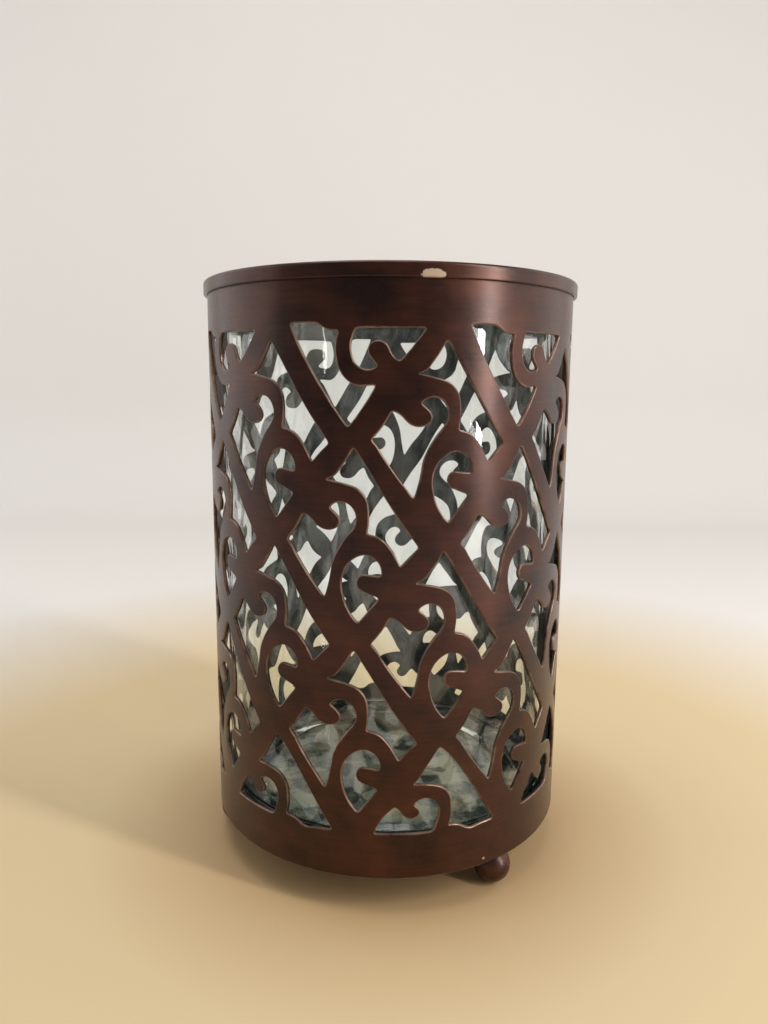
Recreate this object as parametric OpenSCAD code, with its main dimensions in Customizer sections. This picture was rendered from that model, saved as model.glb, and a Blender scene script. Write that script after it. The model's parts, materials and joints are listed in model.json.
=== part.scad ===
// Pierced candle holder: a tall round sleeve of sheet steel with a lattice-and-scroll pattern,
// a formed ring over its top edge, a shallow pan for a floor, three ball feet and a glass
// liner that stands in it and lifts out. Millimetres, +Z up. The origin is on the axis,
// on the plane that the feet stand on. The front of the holder faces -Y.

/* [Sleeve] */
// Outside diameter of the sleeve
sleeve_d = 102; // [80:1:140]
// Height of the sleeve with the ring on its top edge
sleeve_h = 150; // [110:1:200]
// Thickness of the sheet
sheet_t = 1; // [0.8:0.1:1.2]
// Turn of the seam from the front, towards +X
seam_turn = 87; // [0:1:359]
// Plain width left around the seam
seam_strip = 14; // [11:0.5:20]
// Width of the flap behind the seam
lap_w = 9; // [6:0.5:10]

/* [Pattern] */
// Distance around the sleeve from one scroll to the next in the same row
cell_w = 43.2; // [36:0.1:52]
// How far the first scroll stands to the right of the front
pattern_shift = 2; // [-10:0.5:10]
// Plain height above the top windows, with the ring
top_band = 13.3; // [9:0.1:20]
// Plain height below the bottom windows
bottom_band = 12.3; // [9:0.1:20]

/* [Top ring] */
// Height of the ring's outer leg
ring_h = 3.6; // [2.6:0.1:6]
// Thickness of the ring's metal
ring_t = 1; // [0.8:0.1:1.5]

/* [Floor pan and feet] */
// Thickness of the floor pan
pan_t = 1.6; // [1.6:0.1:2.4]
// How far the pan's underside is set up inside the sleeve
pan_recess = 1; // [0.5:0.1:3]
// Height of the pan's turned-up edge, floor included
pan_h = 6; // [4:0.5:9]
// Diameter of a ball foot
foot_d = 10; // [8:0.5:16]
// From the sleeve's outside to the middle of a foot
foot_inset = 5.1; // [5:0.1:14]
// Turn of the first foot from the front, towards +X
foot_turn = 39; // [0:1:119]

/* [Glass] */
// Gap between the glass and the pan's turned-up edge
glass_gap = 1.5; // [0.5:0.1:4]
// Thickness of the glass wall
glass_t = 2.5; // [2:0.1:4]
// Thickness of the glass floor
glass_floor = 6; // [3:0.5:12]
// How far the glass rim stands below the ring's top
glass_drop = 4; // [0:0.5:20]

/* [Hidden] */
$fn = 120;

PAINT = "#4a2c22";
COPPER = "#6b3c28";
STEEL = "#8d8d90";
GLASS = "#b9d6cf80";

weld_fit = 0.05;           // radial gap between pieces that are welded to each other
thread_fit = 0.05;         // radial gap between a screw and what it passes through
feet = 3;                  // each foot is a node of its own
screw_d = 2.5;             // M2.5 countersunk screw
screw_l = 8;
head_d = 4.7;
head_h = 1.5;
socket_d = 1.8;
socket_h = 0.8;
head_sink = 0.05;          // the head's top lies this far below the pan's floor

out_r = sleeve_d / 2;
in_r = out_r - sheet_t;
base_z = foot_d;                          // lower edge of the sleeve
top_z = base_z + sleeve_h;                // top of the ring
sheet_top = top_z - ring_t;               // the sheet ends under the ring's web
pan_z = base_z + pan_recess;
floor_z = pan_z + pan_t;                  // what the glass stands on
glass_r = in_r - weld_fit - sheet_t - glass_gap;
glass_in_r = glass_r - glass_t;
glass_top = top_z - glass_drop;
foot_r = out_r - foot_inset;

// ---- Outlines -----------------------------------------------------------------------------

function whole_turn(a) = a - 360 * floor(a / 360);
function angle_of(p) = atan2(p.y, p.x);

// Centre of the circle through a, m and b
function arc_centre(a, m, b) =
    let (u = m - a, v = b - a)
    a + [v.y * (u * u) - u.y * (v * v), u.x * (v * v) - v.x * (u * u)] / (2 * cross(u, v));

// Points of the arc from a through m towards b, without b, one every arc_step degrees at most
arc_step = 24;
function arc_points(a, m, b) =
    let (c = arc_centre(a, m, b),
         way = sign(cross(m - a, b - a)),
         sweep = way * whole_turn(way * (angle_of(b - c) - angle_of(a - c))),
         n = max(1, ceil(abs(sweep) / arc_step)),
         r = norm(a - c))
    [for (i = [0 : n - 1]) c + r * [cos(angle_of(a - c) + sweep * i / n),
                                    sin(angle_of(a - c) + sweep * i / n)]];

// A row of two numbers is a corner that a straight edge leaves. A row of four is a corner
// that an arc leaves, and the point which that arc passes through.
function outline(rows) =
    [for (i = [0 : len(rows) - 1])
        let (r = rows[i], next = rows[(i + 1) % len(rows)], a = [r[0], r[1]])
        each len(r) == 2 ? [a] : arc_points(a, [r[2], r[3]], [next[0], next[1]])];

// A corner p between a and c, rounded to radius r; the facets lie on the arc
function round_corner(a, p, c, r, n = 4) =
    r == 0 ? [p] :
    let (u = (a - p) / norm(a - p), v = (c - p) / norm(c - p),
         half = acos(u * v) / 2,
         m = p + (u + v) / norm(u + v) * r / sin(half),
         from = angle_of(p + u * r / tan(half) - m),
         swing = whole_turn(angle_of(p + v * r / tan(half) - m) - from + 180) - 180)
    [for (i = [0 : n]) m + r * [cos(from + swing * i / n), sin(from + swing * i / n)]];

// Rows of [radius, height, corner rounding] make a closed profile for turning
function profile(rows) =
    [for (i = [0 : len(rows) - 1])
        let (k = len(rows), a = rows[(i + k - 1) % k], p = rows[i], c = rows[(i + 1) % k])
        each round_corner([a.x, a.y], [p.x, p.y], [c.x, c.y], p.z)];

module turned(rows) rotate_extrude() polygon(profile(rows));

// ---- Windows of the pattern ---------------------------------------------------------------
// Each outline is drawn about the centre of its scroll on a cell DRAWN_W wide, in rows
// DRAWN_ROW apart, and is stretched from there to the real cell and row.

DRAWN_W = 43.2;
DRAWN_ROW = 24.4;

// Long window to the right of a scroll, along its double arch
LEAF = [
    [11.4, 9.4, 9.6, 6.4], [7.6, 3.6, 6.4, 2.4], [4.6, 1.8, 7.6, 1.3],
    [10.6, 0.6, 13.6, -1.2], [15.0, -5.0, 15.1, -8.0], [14.6, -11.0, 16.9, -11.4],
    [19.2, -13.0, 21.0, -15.5], [22.6, -18.7, 24.6, -16.4], [27.0, -14.2, 22.6, -8.2],
    [18.5, -1.9, 14.8, 4.2]];

// Window below a scroll, with its lower curl in it
COMMA = [
    [-1.4, -6.6, 0.4, -7.4], [1.9, -8.9, 4.9, -10.3], [7.6, -9.4, 8.2, -8.0],
    [7.3, -6.4, 6.5, -5.6], [5.4, -5.0, 8.4, -3.4], [11.1, -4.8, 12.0, -7.2],
    [10.7, -10.4, 7.6, -14.6], [5.9, -18.4, 5.2, -22.6], [4.0, -26.8, -0.1, -21.5],
    [-3.7, -16.4, -4.6, -14.8], [-6.1, -13.3, -3.4, -10.2]];

// Window to the left of a scroll, around its upper curl
CRESCENT = [
    [-7.7, 8.5, -4.4, 6.8], [-3.6, 3.3, -6.0, 3.7], [-8.3, 3.9, -9.6, 2.1],
    [-8.7, -0.1, -6.8, -0.8], [-4.0, -1.9, -6.4, -4.8], [-9.1, -8.2, -11.4, -5.2],
    [-12.9, -1.0, -13.2, 1.4], [-12.7, 4.2, -10.8, 7.0]];

// Notched window under the top band, left of the hook
TOP_SPEAR = [
    [-26.0, 13.1], [-19.6, 13.1, -18.6, 12.7], [-17.4, 11.8, -15.6, 11.3],
    [-13.7, 11.3, -14.6, 8.2], [-14.2, 4.4, -12.2, 0.5], [-8.6, -1.2, -6.8, -1.0],
    [-5.1, -0.8, -7.4, -4.7], [-11.6, -10.4, -16.2, -4.0], [-20.6, 2.8, -23.4, 7.6]];

// Window under the top band, inside the hook
TOP_CURL = [
    [-9.7, 11.9], [6.4, 11.9, 3.6, 8.2], [0.3, 4.5, -1.2, 5.8], [-2.0, 7.5, -4.4, 9.2],
    [-6.6, 8.3, -7.0, 6.6], [-6.3, 5.2, -5.6, 4.4], [-4.7, 3.4, -7.6, 2.7],
    [-10.3, 4.8, -10.9, 7.4], [-10.4, 10.0]];

// Window on the bottom band, with the lower curl in it
LOW_COMMA = [
    [0.3, -6.4, 1.3, -7.4], [2.4, -8.8, 4.4, -9.8], [6.2, -9.0, 6.7, -8.0],
    [6.2, -6.9, 5.6, -6.4], [5.0, -6.0, 8.2, -4.5], [11.1, -6.4, 11.5, -8.4],
    [11.0, -10.4, 10.6, -12.0], [9.8, -13.7], [-5.0, -13.7, -3.9, -11.4], [-2.4, -9.0]];

// Long window cut short by the bottom band, with a wave in its lower edge
LOW_LEAF = [
    [11.4, 8.9, 9.6, 6.0], [7.6, 3.0, 6.4, 0.9], [4.8, -0.6, 7.6, -0.7],
    [10.6, -1.2, 13.6, -3.0], [14.8, -7.0, 14.9, -9.6], [14.1, -12.6, 16.1, -12.5],
    [18.2, -13.4, 20.6, -14.4], [22.6, -14.0], [27.4, -13.7, 26.0, -11.3],
    [23.4, -7.4, 18.4, 0.6], [14.2, 6.4]];

rows = 5;
drawn_top = 13.1;          // highest point of the top windows above the first scroll's centre
drawn_bottom = 13.7;       // lower edge of the bottom windows below the last scroll's centre
stretch_x = cell_w / DRAWN_W;
stretch_z = (sleeve_h - top_band - bottom_band)
            / ((rows - 1) * DRAWN_ROW + drawn_top + drawn_bottom);
first_row_z = top_z - top_band - drawn_top * stretch_z;
seam_x = PI * out_r * seam_turn / 180;    // the seam, along the surface from the front
field_end = seam_x - seam_strip / 2;      // the pattern runs from one side of the seam
field_start = seam_x - 2 * PI * out_r + seam_strip / 2;           // round to the other
smallest = 4;                             // a window cut narrower than this is left out
cut_over = 0.2;                           // the cutters run this far past the sheet

function windows_in(row) = concat(row == 0 ? [TOP_SPEAR, TOP_CURL] : [CRESCENT],
                                  row < rows - 1 ? [LEAF, COMMA] : [LOW_LEAF, LOW_COMMA]);

// The part of an outline on one side of the upright line x = edge: side 1 keeps smaller x.
// An outline that the line would cut into separate parts is dropped.
function cut_at(pts, edge, side) =
    let (n = len(pts),
         keep = [for (p = pts) side * (edge - p.x) >= 0],
         crossings = [for (i = [0 : n - 1]) if (keep[i] != keep[(i + 1) % n]) i])
    len(crossings) > 2 ? [] :
    [for (i = [0 : n - 1])
        let (a = pts[i], b = pts[(i + 1) % n])
        each concat(keep[i] ? [a] : [],
                    keep[i] != keep[(i + 1) % n] ? [a + (b - a) * (edge - a.x) / (b.x - a.x)] : [])];

// One window: its outline lies along the sleeve's surface, x to the right and z up, and the
// cutter points straight at the axis from the window's own middle.
module window(drawn, x, z) {
    placed = [for (p = outline(drawn)) [x + p.x * stretch_x, z + p.y * stretch_z]];
    once = cut_at(placed, field_end, 1);
    kept = len(once) > 2 ? cut_at(once, field_start, -1) : [];
    left = len(kept) > 2 ? min([for (p = kept) p.x]) : 0;
    right = len(kept) > 2 ? max([for (p = kept) p.x]) : 0;
    mid = (left + right) / 2;
    deg = 180 / PI / out_r;
    if (right - left >= smallest)
        rotate([0, 0, mid * deg])
        translate([0, -(in_r - sheet_t), 0])
        rotate([90, 0, 0])
        linear_extrude(2 * sheet_t + cut_over)
        polygon([for (p = kept) [out_r * sin((p.x - mid) * deg), p.y]]);
}

module windows() {
    first = floor(2 * (field_start - pattern_shift) / cell_w) - 1;
    last = ceil(2 * (field_end - pattern_shift) / cell_w) + 1;
    for (row = [0 : rows - 1], column = [first : last])
        if ((row + column) % 2 == 0)
            for (drawn = windows_in(row))
                window(drawn, pattern_shift + column * cell_w / 2,
                       first_row_z - row * DRAWN_ROW * stretch_z);
}

// ---- Pieces -------------------------------------------------------------------------------

seam_line = 0.4;           // width of the line that the sheet's outer end leaves
flap_clear = 0.5;          // the flap stops this far short of the pan and of the ring
inner_leg = 3;             // height of the ring's inner leg

// Turns what stands at -Y to where the seam is
module at_seam() rotate([0, 0, seam_turn]) children();

// The sheet's inner end runs on behind its outer end, between the pan and the ring
module flap() {
    turn = lap_w / in_r * 180 / PI;
    low = pan_z + pan_h + flap_clear;
    high = top_z - inner_leg - flap_clear;
    at_seam()
    rotate([0, 0, -90 - turn / 2])
    rotate_extrude(angle = turn)
    translate([in_r - sheet_t, low])
    square([1.5 * sheet_t, high - low]);
}

module sleeve() {
    color(PAINT)
    difference() {
        union() {
            turned([[in_r, base_z, 0], [out_r, base_z, 0], [out_r, sheet_top, 0], [in_r, sheet_top, 0]]);
            flap();
        }
        windows();
        at_seam()
        translate([lap_w / 3, -out_r - sheet_t / 2, base_z - 1])
            cube([seam_line, sheet_t, sleeve_h + 2]);
    }
}

// Channel that covers the sheet's raw edge: a tall outer leg, a web and an inner leg
module top_ring() {
    outer = out_r + ring_t;
    inner = in_r - ring_t;
    low = top_z - ring_h;
    edge = ring_t * 0.8;
    color(PAINT)
    turned([
        [out_r + weld_fit, low, 0], [outer, low, 0.3], [outer, top_z, edge], [inner, top_z, edge],
        [inner, top_z - inner_leg, 0], [in_r - weld_fit, top_z - inner_leg, 0],
        [in_r - weld_fit, sheet_top, 0], [out_r + weld_fit, sheet_top, 0]]);
}

// Places its children at each foot, foot number n in turn
module at_foot(n) rotate([0, 0, foot_turn + n * 360 / feet]) translate([0, -foot_r, 0]) children();

module floor_pan() {
    edge_r = in_r - weld_fit;
    color(PAINT)
    difference() {
        turned([
            [0, pan_z, 0], [edge_r, pan_z, 1.5], [edge_r, pan_z + pan_h, 0],
            [edge_r - sheet_t, pan_z + pan_h, 0], [edge_r - sheet_t, floor_z, 0], [0, floor_z, 0]]);
        for (n = [0 : feet - 1]) at_foot(n) {
            translate([0, 0, pan_z - 1]) cylinder(d = screw_d + 2 * thread_fit, h = pan_t + 2);
            translate([0, 0, floor_z - head_sink - head_h])
                cylinder(d1 = screw_d + 2 * thread_fit, d2 = head_d + 2 * thread_fit, h = head_h);
            translate([0, 0, floor_z - head_sink])
                cylinder(d = head_d + 2 * thread_fit, h = 1);
        }
    }
}

// Ball with a short neck that meets the pan, and a blind hole for its screw
module ball_foot(n) {
    neck_r = 0.28 * foot_d;
    hole_z = floor_z - screw_l - 0.6;
    color(COPPER)
    at_foot(n)
    difference() {
        union() {
            translate([0, 0, foot_d / 2]) sphere(d = foot_d);
            translate([0, 0, foot_d / 2]) cylinder(r = neck_r, h = pan_z - foot_d / 2);
        }
        translate([0, 0, hole_z]) cylinder(d = screw_d + 2 * thread_fit, h = pan_z - hole_z + 1);
    }
}

module ball_foot_front() ball_foot(0);
module ball_foot_back() ball_foot(1);
module ball_foot_left() ball_foot(2);

module foot_screws() {
    top = floor_z - head_sink;
    color(STEEL)
    for (n = [0 : feet - 1]) at_foot(n)
        difference() {
            union() {
                translate([0, 0, floor_z - screw_l]) cylinder(d = screw_d, h = screw_l - head_h);
                translate([0, 0, top - head_h]) cylinder(d1 = screw_d, d2 = head_d, h = head_h);
            }
            translate([0, 0, top - socket_h]) cylinder(d = socket_d, h = socket_h + 1, $fn = 6);
        }
}

// Plain round glass with a thick floor and a melted rim
module glass_liner() {
    rim = glass_t * 0.48;
    color(GLASS)
    turned([
        [0, floor_z, 0], [glass_r, floor_z, 3], [glass_r, glass_top, rim],
        [glass_in_r, glass_top, rim], [glass_in_r, floor_z + glass_floor, 3],
        [0, floor_z + glass_floor, 0]]);
}

sleeve();
top_ring();
floor_pan();
ball_foot_front();
ball_foot_back();
ball_foot_left();
foot_screws();
glass_liner();
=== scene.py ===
"""Pierced candle holder: a rolled steel sleeve cut with lattice and scrolls, painted bronze,
with a ring over its top edge, a galvanised floor pan, ball feet and a clear glass liner."""
import json
import math

import bpy
import numpy as np
from bpy.props import FloatProperty, FloatVectorProperty, IntProperty, PointerProperty
from mathutils import Matrix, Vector
from mathutils.geometry import delaunay_2d_cdt


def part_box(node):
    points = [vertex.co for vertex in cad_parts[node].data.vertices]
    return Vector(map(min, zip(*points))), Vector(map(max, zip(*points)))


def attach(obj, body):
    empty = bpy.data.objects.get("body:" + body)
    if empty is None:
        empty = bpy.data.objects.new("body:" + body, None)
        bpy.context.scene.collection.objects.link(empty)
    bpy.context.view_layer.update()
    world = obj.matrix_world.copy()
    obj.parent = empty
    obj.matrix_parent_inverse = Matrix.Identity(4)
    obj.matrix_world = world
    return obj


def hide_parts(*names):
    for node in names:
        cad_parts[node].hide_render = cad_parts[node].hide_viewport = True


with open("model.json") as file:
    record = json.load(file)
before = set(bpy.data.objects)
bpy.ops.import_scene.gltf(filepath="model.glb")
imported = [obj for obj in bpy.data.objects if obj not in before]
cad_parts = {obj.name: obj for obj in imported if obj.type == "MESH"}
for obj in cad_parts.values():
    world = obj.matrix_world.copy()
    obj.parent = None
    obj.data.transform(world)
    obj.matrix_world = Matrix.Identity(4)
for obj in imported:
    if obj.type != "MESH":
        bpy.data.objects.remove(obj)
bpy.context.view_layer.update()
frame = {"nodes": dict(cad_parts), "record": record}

bl_info = {
    "name": "Pierced candle holder",
    "version": (1, 0, 0),
    "blender": (4, 5, 0),
    "location": "View3D > Sidebar > Holder",
    "description": "Bronze-painted pierced metal candle holder with a glass liner",
    "category": "Add Mesh",
}

MM = 0.001


# ---- Sizes taken from the frame, in millimetres ---------------------------------------------

def node_radius(node):
    """Largest reach of a node from the axis along X, in millimetres."""
    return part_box(node)[1].x / MM


def mount(name):
    """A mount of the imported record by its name."""
    return next(m for m in frame["record"]["mounts"] if m["name"] == name)


SHEET_R = 51.0 if abs(node_radius("sleeve") - 51.0) < 0.1 else node_radius("sleeve")
SHEET_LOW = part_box("sleeve")[0].z / MM
SHEET_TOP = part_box("sleeve")[1].z / MM
RING_R = node_radius("top_ring")
RING_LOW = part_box("top_ring")[0].z / MM
RING_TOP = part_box("top_ring")[1].z / MM
PAN_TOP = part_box("floor_pan")[1].z / MM
GLASS_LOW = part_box("glass_liner")[0].z / MM
GLASS_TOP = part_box("glass_liner")[1].z / MM
BORE_R = mount("liner_bore")["dims"]["r_mm"]
BORE_FLOOR = mount("candle_seat")["pos_m"][2] / MM


# ---- User values ----------------------------------------------------------------------------

def length(name, description, default):
    """A length of the holder, in millimetres."""
    return FloatProperty(name=name, description=description, default=default, min=0.0)


def linear(code):
    """An sRGB hex colour as linear red, green, blue and an alpha of 1."""
    srgb = np.array([int(code[i:i + 2], 16) for i in (1, 3, 5)]) / 255
    low, high = srgb / 12.92, ((srgb + 0.055) / 1.055) ** 2.4
    return (*np.where(srgb <= 0.04045, low, high).tolist(), 1.0)


def paint(name, description, code):
    """A colour of the holder, given as sRGB hex."""
    return FloatVectorProperty(name=name, description=description, default=linear(code), size=4,
                               min=0.0, max=1.0, subtype="COLOR")


class HolderSizes(bpy.types.PropertyGroup):
    """Sizes that the frame's boxes don't give, in millimetres."""
    sheet: length("Sheet", "Thickness of the sleeve's sheet", 1.0)
    cell: length("Cell width", "Distance round the sleeve between scrolls of one row", 43.2)
    shift: length("Pattern shift", "First scroll's distance to the right of the front", 2.0)
    top_band: length("Top band", "Plain height above the top windows, ring included", 13.3)
    bottom_band: length("Bottom band", "Plain height below the bottom windows", 12.3)
    seam_turn: FloatProperty(name="Seam turn", description="Turn of the seam from the front, towards +X",
                             default=math.radians(87), subtype="ANGLE")
    seam_strip: length("Seam strip", "Plain width round the seam", 14.0)
    flap: length("Flap", "Width of the sheet's end behind the seam", 9.0)
    outer_edge: length("Outer edge rounding", "Rounding of the windows' outer edges", 0.42)
    inner_edge: length("Inner edge rounding", "Rounding of the windows' inner edges", 0.15)
    corner: length("Corner softness", "Spread of the windows' corners under the paint", 0.55)
    dent: length("Sheet waviness", "Height of the slow waves in the rolled sheet", 0.05)
    glass_wave: length("Glass waviness", "Height of the upright waves inside the glass", 0.16)
    facets: IntProperty(name="Facets", description="Steps round a turned piece", default=256, min=48)


class HolderColours(bpy.types.PropertyGroup):
    """Colours of the finishes."""
    bronze: paint("Bronze paint", "Dark reddish brown of the outside", "#39190c")
    bronze_light: paint("Bronze rub", "Rubbed, lighter brown streaks", "#4a2413")
    bronze_dark: paint("Bronze shade", "Darkest streaks of the paint", "#260e07")
    # Partly rubbed paint and partly a painted highlight: this pale colour also stands in for the light caught
    # by the rounded window edges.
    worn_and_highlight: paint("Worn edge", "Pale brown where the edges are rubbed", "#b3967f")
    primer: paint("Primer", "Pale beige primer in a paint chip", "#b3a58f")
    inside: paint("Inside", "Dark grey-green overspray inside the sleeve", "#121516")
    inside_light: paint("Inside light", "Thin places of the overspray", "#56544c")
    inside_brown: paint("Inside brown", "Bronze paint blown in through the windows", "#3b2c24")
    copper: paint("Copper paint", "Brown of the ball feet", "#47261b")
    zinc: paint("Zinc", "Galvanised floor pan", "#7d7967")
    zinc_dark: paint("Zinc shade", "Dark spangles of the floor pan", "#16211d")
    steel: paint("Steel", "Zinc-plated screws", "#8a8a88")
    glass: paint("Glass", "Tint of clear glass", "#fbfefd")
    floor: paint("Floor", "Pale studio floor", "#cfb992")
    # Painted shade: a darker, browner floor colour close round the holder, standing in for its shadow on the
    # floor.
    floor_painted_shade: paint("Floor near", "Studio floor round the feet", "#bd9c70")
    wall: paint("Wall", "Studio wall and air", "#e2dfdc")


def sizes():
    """The sizes set on the scene."""
    return bpy.context.scene.holder_sizes


def colours():
    """The colours set on the scene."""
    return bpy.context.scene.holder_colours


# ---- Outlines of the windows ----------------------------------------------------------------
# Millimetres about the middle of a scroll, on a cell DRAWN_CELL wide in rows DRAWN_ROW apart.
# A row of two numbers is a corner that a straight edge leaves. A row of four is a corner that
# an arc leaves, and the point which that arc passes through.

DRAWN_CELL = 43.2
DRAWN_ROW = 24.4
DRAWN_TOP = 13.1
DRAWN_BOTTOM = 13.7
ROWS = 5

LEAF = [
    [11.4, 9.4, 9.6, 6.4], [7.6, 3.6, 6.4, 2.4], [4.6, 1.8, 7.6, 1.3],
    [10.6, 0.6, 13.6, -1.2], [15.0, -5.0, 15.1, -8.0], [14.6, -11.0, 16.9, -11.4],
    [19.2, -13.0, 21.0, -15.5], [22.6, -18.7, 24.6, -16.4], [27.0, -14.2, 22.6, -8.2],
    [18.5, -1.9, 14.8, 4.2]]
COMMA = [
    [-1.4, -6.6, 0.4, -7.4], [1.9, -8.9, 4.9, -10.3], [7.6, -9.4, 8.2, -8.0],
    [7.3, -6.4, 6.5, -5.6], [5.4, -5.0, 8.4, -3.4], [11.1, -4.8, 12.0, -7.2],
    [10.7, -10.4, 7.6, -14.6], [5.9, -18.4, 5.2, -22.6], [4.0, -26.8, -0.1, -21.5],
    [-3.7, -16.4, -4.6, -14.8], [-6.1, -13.3, -3.4, -10.2]]
CRESCENT = [
    [-7.7, 8.5, -4.4, 6.8], [-3.6, 3.3, -6.0, 3.7], [-8.3, 3.9, -9.6, 2.1],
    [-8.7, -0.1, -6.8, -0.8], [-4.0, -1.9, -6.4, -4.8], [-9.1, -8.2, -11.4, -5.2],
    [-12.9, -1.0, -13.2, 1.4], [-12.7, 4.2, -10.8, 7.0]]
TOP_SPEAR = [
    [-26.0, 13.1], [-19.6, 13.1, -18.6, 12.7], [-17.4, 11.8, -15.6, 11.3],
    [-13.7, 11.3, -14.6, 8.2], [-14.2, 4.4, -12.2, 0.5], [-8.6, -1.2, -6.8, -1.0],
    [-5.1, -0.8, -7.4, -4.7], [-11.6, -10.4, -16.2, -4.0], [-20.6, 2.8, -23.4, 7.6]]
TOP_CURL = [
    [-9.7, 11.9], [6.4, 11.9, 3.6, 8.2], [0.3, 4.5, -1.2, 5.8], [-2.0, 7.5, -4.4, 9.2],
    [-6.6, 8.3, -7.0, 6.6], [-6.3, 5.2, -5.6, 4.4], [-4.7, 3.4, -7.6, 2.7],
    [-10.3, 4.8, -10.9, 7.4], [-10.4, 10.0]]
LOW_COMMA = [
    [0.3, -6.4, 1.3, -7.4], [2.4, -8.8, 4.4, -9.8], [6.2, -9.0, 6.7, -8.0],
    [6.2, -6.9, 5.6, -6.4], [5.0, -6.0, 8.2, -4.5], [11.1, -6.4, 11.5, -8.4],
    [11.0, -10.4, 10.6, -12.0], [9.8, -13.7], [-5.0, -13.7, -3.9, -11.4], [-2.4, -9.0]]
LOW_LEAF = [
    [11.4, 8.9, 9.6, 6.0], [7.6, 3.0, 6.4, 0.9], [4.8, -0.6, 7.6, -0.7],
    [10.6, -1.2, 13.6, -3.0], [14.8, -7.0, 14.9, -9.6], [14.1, -12.6, 16.1, -12.5],
    [18.2, -13.4, 20.6, -14.4], [22.6, -14.0], [27.4, -13.7, 26.0, -11.3],
    [23.4, -7.4, 18.4, 0.6], [14.2, 6.4]]


def arc_points(a, m, b):
    """Points of the arc from a through m towards b, without b. The centre is where the
    mirror lines of a-m and a-b cross; a nearly straight arc gives its start alone."""
    u, v = m - a, b - a
    cross = u[0] * v[1] - u[1] * v[0]
    if abs(cross) < 1e-3 * (v @ v):
        return a[None]
    centre = a + np.array([v[1] * (u @ u) - u[1] * (v @ v), u[0] * (v @ v) - v[0] * (u @ u)]) / (2 * cross)
    start, end = (math.atan2(*(p - centre)[::-1]) for p in (a, b))
    sweep = math.copysign((math.copysign(1, cross) * (end - start)) % (2 * math.pi), cross)
    radius = math.dist(a, centre)
    steps = max(1, math.ceil(abs(sweep) * radius / 0.3))
    turn = start + sweep * np.arange(steps) / steps
    return centre + radius * np.column_stack([np.cos(turn), np.sin(turn)])


def outline(rows):
    """The drawn rows as one closed line of points, arcs at about 0.3 mm."""
    corners = [np.array(r[:2]) for r in rows]
    parts = [arc_points(corners[i], np.array(r[2:]), corners[(i + 1) % len(rows)]) if len(r) == 4
             else corners[i][None] for i, r in enumerate(rows)]
    return np.vstack(parts)


def cut_at(line, edge, side):
    """The part of a closed line on one side of s = edge; side 1 keeps smaller s. A line that
    would be cut into separate parts is dropped."""
    after = np.roll(line, -1, 0)
    keep, keep_after = side * (edge - line[:, 0]) >= 0, side * (edge - after[:, 0]) >= 0
    crossing = keep != keep_after
    if crossing.sum() > 2:
        return line[:0]
    step = np.where(crossing, after[:, 0] - line[:, 0], 1.0)
    meet = line + (after - line) * ((edge - line[:, 0]) / step)[:, None]
    both = np.stack([line, meet], 1).reshape(-1, 2)
    return both[np.stack([keep, crossing], 1).reshape(-1)]


def eased(line, blur, straight, turn):
    """The closed line evenly resampled, its corners softened by a Gaussian of width blur along
    it, and then spaced so that length / straight + turning / turn is the same between points."""
    def walked(pts):
        """Length of each step of the closed line."""
        return np.hypot(*(np.roll(pts, -1, 0) - pts).T)

    def along(pts, cost, places):
        """Points of the closed line at places, counted along it in steps of cost."""
        marks = np.concatenate([[0], np.cumsum(cost)])
        ends = np.vstack([pts, pts[:1]])
        return np.column_stack([np.interp(places, marks, ends[:, k]) for k in (0, 1)])

    total = walked(line).sum()
    count = math.ceil(total / 0.1)
    even = along(line, walked(line), np.arange(count) * total / count)
    waves = np.fft.rfft(even, axis=0)
    order = np.arange(len(waves))[:, None]
    soft = np.fft.irfft(waves * np.exp(-2 * (math.pi * order * blur / total) ** 2), count, axis=0)
    run = np.roll(soft, -1, 0) - soft
    heading = np.arctan2(run[:, 1], run[:, 0])
    bend = np.abs((heading - np.roll(heading, 1) + math.pi) % (2 * math.pi) - math.pi)
    cost = walked(soft) / straight + 0.5 * (bend + np.roll(bend, -1)) / math.radians(turn)
    points = math.ceil(cost.sum())
    return along(soft, cost, np.arange(points) * cost.sum() / points)


def wound(line, turn):
    """The line, reversed if needed to run anticlockwise for turn 1 and clockwise for -1."""
    after = np.roll(line, -1, 0)
    area = (line[:, 0] * after[:, 1] - after[:, 0] * line[:, 1]).sum()
    return line if area * turn > 0 else line[::-1]


def seam():
    """Where the seam is, in millimetres round the outside from the front."""
    return SHEET_R * sizes().seam_turn


def window_lines():
    """Every window of the sleeve as an eased anticlockwise line in (s, z): s runs round the
    outside from the front to the right and z up, both in millimetres."""
    size = sizes()
    stretch = np.array([size.cell / DRAWN_CELL,
                        (RING_TOP - SHEET_LOW - size.top_band - size.bottom_band)
                        / ((ROWS - 1) * DRAWN_ROW + DRAWN_TOP + DRAWN_BOTTOM)])
    first_z = RING_TOP - size.top_band - DRAWN_TOP * stretch[1]
    end = seam() - size.seam_strip / 2
    start = seam() - 2 * math.pi * SHEET_R + size.seam_strip / 2
    first, last = (math.floor(2 * (edge - size.shift) / size.cell) for edge in (start, end))
    lines = []
    for row in range(ROWS):
        kinds = [TOP_SPEAR, TOP_CURL] if row == 0 else [CRESCENT]
        kinds += [LEAF, COMMA] if row < ROWS - 1 else [LOW_LEAF, LOW_COMMA]
        for column in range(first - 1, last + 3):
            if (row + column) % 2:
                continue
            middle = np.array([size.shift + column * size.cell / 2, first_z - row * DRAWN_ROW * stretch[1]])
            for rows in kinds:
                line = cut_at(cut_at(middle + outline(rows) * stretch, end, 1), start, -1)
                if len(line) > 2 and np.ptp(line[:, 0]) >= 4.0:
                    lines.append(eased(wound(line, 1), size.corner, 2.4, 11))
    return lines


# ---- Surfaces -------------------------------------------------------------------------------

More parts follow.
